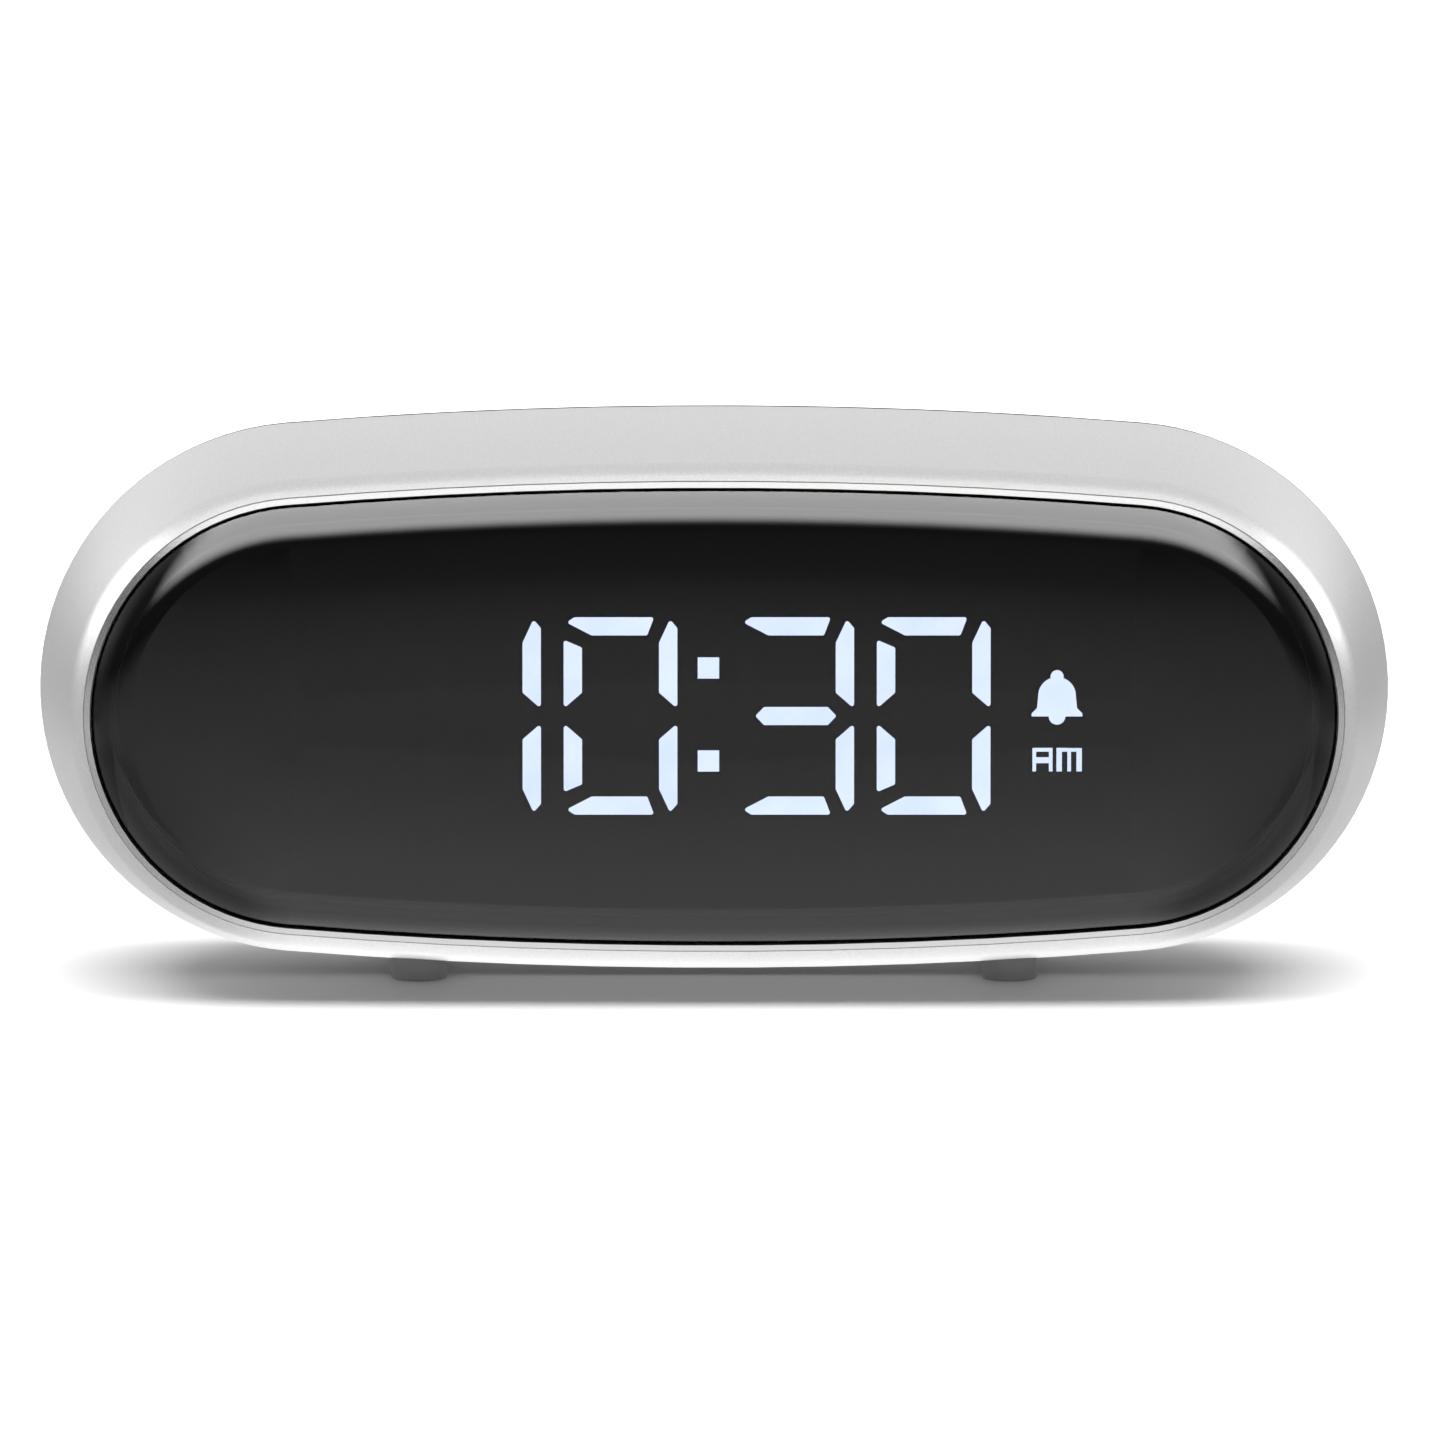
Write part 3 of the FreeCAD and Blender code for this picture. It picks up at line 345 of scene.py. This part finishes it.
# Smooth mould: creamy white, slightly waxy.
finishes["connector_nylon"] = moulded("nylon_moulded_white", "DCD8C8", "E8E4D6", 0.5, 0.02, (0.4, 0.5))
# Laminated film: pale and glossy.
finishes["ribbon_film"] = moulded(
    "polyester_film_laminated", "D8D8D4", "E6E6E2", 0.6, 0.01, (0.25, 0.35)
)
# Drawn over the wire while soft: an even dark red.
finishes["wire_insulation"] = moulded("pvc_extruded_red", "7C1510", "8E1A14", 0.5, 0.01, (0.35, 0.5))
print("finishes so far", len(finishes))

# %% [markdown]
# ## Metals
# Screws, spring contacts and the crystal's can are bare or plated metal. What tells metal from grey
# plastic is the tinted mirror and the fine scratches in it, so colour, gloss and relief all follow one
# scratchy noise. Real scratches are hair-fine, so they are drawn a few tenths of a millimetre wide, and
# stretched along the draw of the can. Each metal keeps the shader's own IOR.

# %% A metal finish
SCRATCH_DEPTH = 0.006 * MM


def bare_metal(name, dark, light, gloss, grain, stretch=(1.0, 1.0, 1.0)):
    """Metal: two close colours, the range of its roughness and the size of its scratches in mm."""
    material, tree, shader, place = new_material(name)
    placed = add_node(tree, "ShaderNodeMapping", {"Vector": place, "Scale": stretch}).outputs["Vector"]
    scratches = add_node(
        tree, "ShaderNodeTexNoise", {"Vector": placed, "Scale": 1 / (grain * MM), "Detail": 4.0}
    ).outputs["Fac"]
    share = add_node(
        tree, "ShaderNodeMapRange", {"Value": scratches, "From Min": NOISE_LOW, "From Max": NOISE_HIGH}
    )
    colour = add_node(
        tree,
        "ShaderNodeMix",
        {"Factor": share.outputs["Result"], "A": paint(dark), "B": paint(light)},
        data_type="RGBA",
    )
    rough = add_node(tree, "ShaderNodeMapRange", {
        "Value": scratches,
        "From Min": NOISE_LOW,
        "From Max": NOISE_HIGH,
        "To Min": gloss[0],
        "To Max": gloss[1],
    })
    relief = add_node(
        tree, "ShaderNodeBump", {"Height": scratches, "Distance": SCRATCH_DEPTH, "Strength": 0.4}
    )
    connect(tree, shader, {
        "Base Color": colour.outputs["Result"],
        "Roughness": rough.outputs["Result"],
        "Normal": relief.outputs["Normal"],
        "Metallic": 1.0,
    })
    return material


print("scratches", round(SCRATCH_DEPTH / MM, 3), "mm deep")

# %% The metal pieces
# Zinc plate: cool grey, half bright.
finishes["screw_steel"] = bare_metal("steel_zinc_plated", "8C8D8E", "B4B5B6", (0.25, 0.4), 0.4)
# Drawn sheet: pale, with marks that run along the draw.
finishes["crystal_can"] = bare_metal(
    "steel_drawn_can", "A5A5A2", "C0C0BC", (0.2, 0.3), 0.5, (1.0, 1.0, 8.0)
)
# Nickel plate: brighter and a little warm.
finishes["contact_nickel"] = bare_metal("steel_nickel_plated", "A09C94", "C2BEB4", (0.18, 0.3), 0.3)
print("metals", [finishes[slot].name for slot in ("screw_steel", "crystal_can", "contact_nickel")])

# %% [markdown]
# ## Circuit boards
# The boards are glass fibre under green lacquer. Copper tracks below the lacquer show as slightly
# lighter lines that stand off a little from the rest. A brick pattern gives a plausible net of tracks
# without drawing a circuit: its mortar stands for the copper.

# %% Glass fibre, lacquered green
BRICK_LENGTH = 0.5  # of the brick pattern at a scale of one
TRACK_GRID = 260.0
RIPPLE = 2 * MM

material, tree, shader, place = new_material("glass_fibre_lacquered_green")
tracks = add_node(tree, "ShaderNodeTexBrick", {
    "Vector": place,
    "Scale": TRACK_GRID,
    "Color1": paint("0F5B2C"),
    "Color2": paint("12622F"),
    "Mortar": paint("1B7A3E"),
    "Mortar Size": 0.03,
})
relief = add_node(
    tree, "ShaderNodeBump", {"Height": tracks.outputs["Fac"], "Distance": 0.02 * MM, "Strength": 0.5}
)
ripple = add_node(
    tree, "ShaderNodeTexNoise", {"Vector": place, "Scale": 1 / RIPPLE, "Detail": 2.0}
).outputs["Fac"]
rough = add_node(tree, "ShaderNodeMapRange", {
    "Value": ripple, "From Min": NOISE_LOW, "From Max": NOISE_HIGH, "To Min": 0.28, "To Max": 0.40,
})
connect(tree, shader, {
    "Base Color": tracks.outputs["Color"],
    "Roughness": rough.outputs["Result"],
    "Normal": relief.outputs["Normal"],
})
finishes["circuit_board"] = material
print(material.name, "bricks", round(BRICK_LENGTH / TRACK_GRID / MM, 1), "mm long")

# %% [markdown]
# ## Batteries
# A cell wears a printed film, shrunk on with heat: near black, with a copper-coloured band at one end
# and a little metal under the ink. To the eye it is a smooth, half-shiny tube. The print could be a
# picture wrapped round it, but both cells lie along X, so a plane across X can part the two inks.

# %% PVC film, printed and shrunk
BAND_SHARE = 0.3
INK_BLUR = 0.1 * MM
INK_CLOUD = 6 * MM
cells_low, cells_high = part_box("batteries")
band_ends = cells_low.x + BAND_SHARE * (cells_high.x - cells_low.x)

material, tree, shader, place = new_material("pvc_film_printed_shrunk")
along = add_node(tree, "ShaderNodeSeparateXYZ", {"Vector": place}).outputs["X"]
past_band = add_node(tree, "ShaderNodeMapRange", {
    "Value": along, "From Min": band_ends - INK_BLUR, "From Max": band_ends + INK_BLUR,
}).outputs["Result"]
cloud = add_node(
    tree, "ShaderNodeTexNoise", {"Vector": place, "Scale": 1 / INK_CLOUD, "Detail": 2.0}
).outputs["Fac"]
share = add_node(
    tree, "ShaderNodeMapRange", {"Value": cloud, "From Min": NOISE_LOW, "From Max": NOISE_HIGH}
).outputs["Result"]
print("band", round((band_ends - cells_low.x) / MM, 1), "mm wide")

# %% Two inks
copper_ink = add_node(
    tree,
    "ShaderNodeMix",
    {"Factor": share, "A": paint("A5632E"), "B": paint("B06C34")},
    data_type="RGBA",
)
black_ink = add_node(
    tree,
    "ShaderNodeMix",
    {"Factor": share, "A": paint("1D1E21"), "B": paint("232428")},
    data_type="RGBA",
)
inks = add_node(
    tree,
    "ShaderNodeMix",
    {"Factor": past_band, "A": copper_ink.outputs["Result"], "B": black_ink.outputs["Result"]},
    data_type="RGBA",
)
rough = add_node(tree, "ShaderNodeMapRange", {"Value": share, "To Min": 0.30, "To Max": 0.36})
connect(tree, shader, {
    "Base Color": inks.outputs["Result"],
    "Roughness": rough.outputs["Result"],
    "Metallic": 0.1,
})
finishes["cell_jacket"] = material
print(material.name, "nodes", len(tree.nodes))

# %% [markdown]
# ## Dress the pieces
# The record names a finish for every piece. Each mesh drops the plain material it came with and takes
# the one made above.

# %% Put each finish on its pieces
for piece in frame["record"]["subparts"]:
    mesh = nodes[piece["node"]].data
    mesh.materials.clear()
    mesh.materials.append(finishes[piece["material_slot"]])
    for polygon in mesh.polygons:
        polygon.material_index = 0

# %% [markdown]
# ## Table
# The clock stands on a sheet of pressed white laminate that runs on past the edges of the view. Glossy
# pieces would show the sheet as a flat white floor, so it is hidden from reflections: they look through
# it into the lower half of the room, whose tones can be shaped.

# %% White laminate table
HALF_TABLE = 4.0
TABLE_CLOUD = 0.2

flat = bmesh.new()
bmesh.ops.create_grid(flat, x_segments=1, y_segments=1, size=HALF_TABLE)
mesh = bpy.data.meshes.new("table_top")
flat.to_mesh(mesh)
flat.free()
table_top = bpy.data.objects.new("table_top", mesh)
bpy.context.scene.collection.objects.link(table_top)
table_top.visible_glossy = False

material, tree, shader, place = new_material("laminate_pressed_white")
cloud = add_node(
    tree, "ShaderNodeTexNoise", {"Vector": place, "Scale": 1 / TABLE_CLOUD, "Detail": 2.0}
).outputs["Fac"]
share = add_node(
    tree, "ShaderNodeMapRange", {"Value": cloud, "From Min": NOISE_LOW, "From Max": NOISE_HIGH}
)
white = add_node(
    tree,
    "ShaderNodeMix",
    {"Factor": share.outputs["Result"], "A": paint("F2F2F2"), "B": paint("F5F5F5")},
    data_type="RGBA",
)
connect(tree, shader, {
    "Base Color": white.outputs["Result"],
    "Roughness": 0.6,
    "Specular IOR Level": 0.1,
})
mesh.materials.append(material)
print("table", 2 * HALF_TABLE, "m across, faces", len(mesh.polygons))

# %% [markdown]
# ## Room
# Polished things mostly show the room. A ring of lamps could light this one, but a few smooth tones do
# the same without grain: the room has a grey level for each height, one set ahead of the clock and one
# behind it, and each set is a colour ramp. Ahead, it is dim at eye level and brightens downwards, which
# gives the lens its dark face with a paler foot. Behind, it is bright low down and dark at eye level,
# which gives the body a white lower edge and grey ends. Each pair below is a height from -1, straight
# down, to 1, straight up, and a tone. A ramp stops at one, so tones are shares of the brightness.

# %% Tones by height
BRIGHTNESS = 2.0
TURNS_BEHIND = (-0.55, 0.1)
AHEAD = (
    (-1, 0.8), (-0.5, 0.8), (-0.36, 0.75), (-0.16, 0.38),
    (0.05, 0.07), (0.2, 0.08), (0.35, 0.1), (1, 0.1),
)
BEHIND = (
    (-1, 0.95), (-0.6, 0.95), (-0.3, 0.86), (-0.16, 0.22),
    (0, 0.2), (0.27, 0.6), (0.52, 0.44), (1, 0.4),
)

room = bpy.data.worlds.new("studio_room")
room.use_nodes = True
tree = room.node_tree
sight = add_node(tree, "ShaderNodeTexCoord").outputs["Generated"]
split = add_node(tree, "ShaderNodeSeparateXYZ", {"Vector": sight})
height = add_node(
    tree, "ShaderNodeMapRange", {"Value": split.outputs["Z"], "From Min": -1.0}
).outputs["Result"]
print("heights ahead", len(AHEAD), "behind", len(BEHIND))

# %% One ramp ahead and one behind
sides = []
for tones in (AHEAD, BEHIND):
    ramp = add_node(tree, "ShaderNodeValToRGB", {"Fac": height})
    marks = ramp.color_ramp.elements
    marks[1].position = 1.0
    for level, _ in tones[1:-1]:
        marks.new((level + 1) / 2)
    for mark, (_, tone) in zip(marks, tones):
        mark.color = (tone, tone, tone, 1.0)
    sides.append(ramp.outputs["Color"])
turn = add_node(
    tree,
    "ShaderNodeMapRange",
    {"Value": split.outputs["Y"], "From Min": TURNS_BEHIND[0], "From Max": TURNS_BEHIND[1]},
    interpolation_type="SMOOTHSTEP",
).outputs["Result"]
tone = add_node(
    tree, "ShaderNodeMix", {"Factor": turn, "A": sides[0], "B": sides[1]}, data_type="RGBA"
)
connect(tree, tree.nodes["Background"], {"Color": tone.outputs["Result"]})
bpy.context.scene.world = room
print("ramps", len(sides))

# %% [markdown]
# Two things dim the lower half of the room. Away from the middle it fades, as a light table of limited
# width does, and this keeps the round ends of the body grey. Light that has bounced off the white table
# also sees less of it, because a real table would hide it: otherwise the shadow under the clock would
# fill with light that comes up through the table.

# %% Dim the lower half at the sides
SIDE_LOSS = 0.6
SIDE_FROM, SIDE_TO = 0.03, 0.3
LOW_FROM, LOW_TO = -0.14, -0.34

off_middle = add_node(tree, "ShaderNodeMath", {0: split.outputs["X"]}, operation="ABSOLUTE")
aside = add_node(
    tree,
    "ShaderNodeMapRange",
    {"Value": off_middle.outputs["Value"], "From Min": SIDE_FROM, "From Max": SIDE_TO},
    interpolation_type="SMOOTHSTEP",
).outputs["Result"]
low = add_node(
    tree,
    "ShaderNodeMapRange",
    {"Value": split.outputs["Z"], "From Min": LOW_FROM, "From Max": LOW_TO},
    interpolation_type="SMOOTHSTEP",
).outputs["Result"]
low_aside = add_node(tree, "ShaderNodeMath", {0: aside, 1: low}, operation="MULTIPLY")
seen = add_node(
    tree,
    "ShaderNodeMath",
    {0: low_aside.outputs["Value"], 1: -SIDE_LOSS, 2: 1.0},
    operation="MULTIPLY_ADD",
).outputs["Value"]
print("the sides keep", round(1 - SIDE_LOSS, 2), "of the light low down")

# %% Dim it for light that has bounced
BOUNCE_LOSS = 0.4

bounces = add_node(tree, "ShaderNodeLightPath").outputs["Diffuse Depth"]
bounced = add_node(
    tree, "ShaderNodeMath", {0: bounces, 1: 1.0}, operation="MINIMUM"
).outputs["Value"]
below = add_node(
    tree, "ShaderNodeMath", {0: split.outputs["Z"], 1: 0.0}, operation="LESS_THAN"
).outputs["Value"]
bounced_below = add_node(tree, "ShaderNodeMath", {0: bounced, 1: below}, operation="MULTIPLY")
kept = add_node(
    tree,
    "ShaderNodeMath",
    {0: bounced_below.outputs["Value"], 1: -BOUNCE_LOSS, 2: 1.0},
    operation="MULTIPLY_ADD",
).outputs["Value"]
share = add_node(tree, "ShaderNodeMath", {0: seen, 1: kept}, operation="MULTIPLY").outputs["Value"]
strength = add_node(tree, "ShaderNodeMath", {0: share, 1: BRIGHTNESS}, operation="MULTIPLY")
connect(tree, tree.nodes["Background"], {"Strength": strength.outputs["Value"]})
print("bounced light keeps", round(1 - BOUNCE_LOSS, 2), "and the room has", len(tree.nodes), "nodes")

# %% [markdown]
# ## Lamps
# Each lamp is a soft panel that does one job: one casts the light and the shadow, and the others are only
# there to be mirrored in one piece. Light linking keeps a panel on its piece, so one highlight can be
# moved without another changing. A panel is placed by its bearing and height seen from the clock. The key
# hangs above and a little ahead, which gives the table its soft shadow.

# %% A soft panel
CENTRE = Vector((0, 0, 30 * MM))
PANEL_DISTANCE = 2.0


def towards(bearing, elevation):
    """Place of a panel: bearing 0 is straight ahead of the clock, and positive to the viewer's right."""
    b, e = radians(bearing), radians(elevation)
    return CENTRE + PANEL_DISTANCE * Vector((sin(b) * cos(e), -cos(b) * cos(e), sin(e)))


def panel(name, place, size, power, seen_by, only=None, aim=CENTRE):
    """Panel of size (across, up) in metres, whose light reaches all pieces or only some."""
    data = bpy.data.lights.new(name, "AREA")
    data.shape = "RECTANGLE"
    data.size, data.size_y = size
    data.energy = power
    light = bpy.data.objects.new(name, data)
    bpy.context.scene.collection.objects.link(light)
    light.location = place
    light.rotation_mode = "QUATERNION"
    light.rotation_quaternion = (aim - Vector(place)).to_track_quat("-Z", "Y")
    light.visible_camera = False
    light.visible_transmission = False
    light.visible_diffuse = seen_by == "diffuse"
    light.visible_glossy = seen_by == "glossy"
    if only:
        receivers = bpy.data.collections.new(name + "_receivers")
        receivers.objects.link(only)
        light.light_linking.receiver_collection = receivers
    return light


print("panels stand", PANEL_DISTANCE, "m away")

# %% Light for the table and the body
body = nodes["front_housing"]
origin = Vector((0, 0, 0))
panel("key", (0, -0.27, 2.0), (3.0, 1.66), 84.0, "diffuse", aim=origin)
panel("lip_card", towards(0, 21), (1.8, 0.4), 4.8, "glossy", body)
panel("brow_card", towards(0, 62), (3.0, 1.4), 16.0, "glossy", body)
panel("left_wing", towards(-86, 27), (2.4, 0.9), 21.0, "glossy", body)
panel("right_wing", towards(86, 27), (2.4, 0.9), 21.0, "glossy", body)

# %% [markdown]
# The lens curves back at its rim, and there it mirrors what is high above the clock. A tall card up there
# draws the pale band along the top of the lens. The ends of the band taper off like horns, so the card
# isn't cut off but fades in from its lower edge and from both sides.

# %% A card that fades in, for the lens
LOW_EDGE = (0.11, 0.36)
SIDE_FADE = 0.24

lens_card = panel("lens_card", towards(0, 55), (4.4, 4.2), 620.0, "glossy", nodes["lens"])
panel("lens_underlight", towards(0, -62), (6.0, 3.0), 18.0, "glossy", nodes["lens"])
lens_card.data.use_nodes = True
tree = lens_card.data.node_tree
spot = add_node(tree, "ShaderNodeNewGeometry").outputs["Parametric"]
across_and_up = add_node(tree, "ShaderNodeSeparateXYZ", {"Vector": spot})
strength = 1.0
for axis, start, end in (("Y", *LOW_EDGE), ("X", 0.0, SIDE_FADE), ("X", 1.0, 1.0 - SIDE_FADE)):
    fade = add_node(
        tree,
        "ShaderNodeMapRange",
        {"Value": across_and_up.outputs[axis], "From Min": start, "From Max": end},
        interpolation_type="SMOOTHSTEP",
    )
    times = add_node(
        tree, "ShaderNodeMath", {0: fade.outputs["Result"], 1: strength}, operation="MULTIPLY"
    )
    strength = times.outputs["Value"]
connect(tree, tree.nodes["Emission"], {"Strength": strength})
print("card fades over", SIDE_FADE, "of its width at each side")

# %% [markdown]
# ## Camera
# A long lens three metres away keeps the oval true, and a little height shows the top of the body. The
# view transform stays standard, so that white paper comes out white.

# %% Aim the camera
ACROSS = 0.1639
DISTANCE = 3.0
ELEVATION = radians(9.1)
SENSOR = 36.0
CLIP = (0.1, 20.0)

aim = Vector((0.33 * MM, case_low.y, (cad_high.z + case_low.z) / 2))
back = Vector((0, -cos(ELEVATION), sin(ELEVATION)))
data = bpy.data.cameras.new("studio_camera")
data.sensor_width = SENSOR
data.lens = SENSOR * DISTANCE / ACROSS
data.clip_start, data.clip_end = CLIP
camera = bpy.data.objects.new("studio_camera", data)
camera.location = aim + back * DISTANCE
camera.rotation_mode = "QUATERNION"
camera.rotation_quaternion = (-back).to_track_quat("-Z", "Y")
bpy.context.scene.collection.objects.link(camera)
bpy.context.scene.camera = camera
bpy.context.scene.view_settings.view_transform = "Standard"
print("camera", [round(v, 3) for v in camera.location], "focal length", round(data.lens), "mm")
